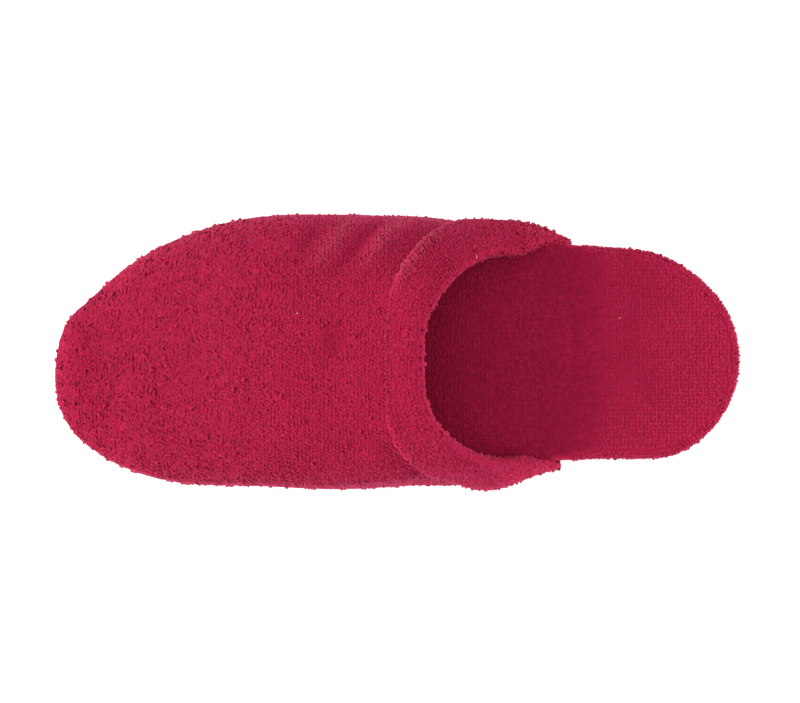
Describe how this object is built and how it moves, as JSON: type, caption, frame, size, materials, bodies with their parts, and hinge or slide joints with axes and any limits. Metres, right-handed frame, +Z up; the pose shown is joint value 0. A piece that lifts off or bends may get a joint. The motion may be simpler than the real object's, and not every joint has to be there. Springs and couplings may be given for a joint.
{
  "type": "terry mule slipper",
  "caption": "Closed-toe, open-back house slipper: a padded terry vamp with a folded collar band on a cushioned sole with a thin non-slip outsole.",
  "frame": {"origin": "on the floor, under the middle of the slipper's box", "axes": "+Y from heel to toe, +X to the lateral (little toe) side, +Z up"},
  "size_m": [0.1127, 0.28, 0.0602],
  "materials": {
    "non_slip_rubber": "matt moulded sheet",
    "platform_terry": "raspberry terry over foam",
    "footbed_terry": "raspberry terry over foam",
    "vamp_terry": "raspberry terry, brushed at the toe",
    "hem_terry": "raspberry terry, folded band"
  },
  "bodies": {
    "root": {"outsole": "non_slip_rubber", "midsole": "platform_terry", "insole": "footbed_terry", "upper": "vamp_terry", "collar_hem": "hem_terry"}
  },
  "joints": []
}
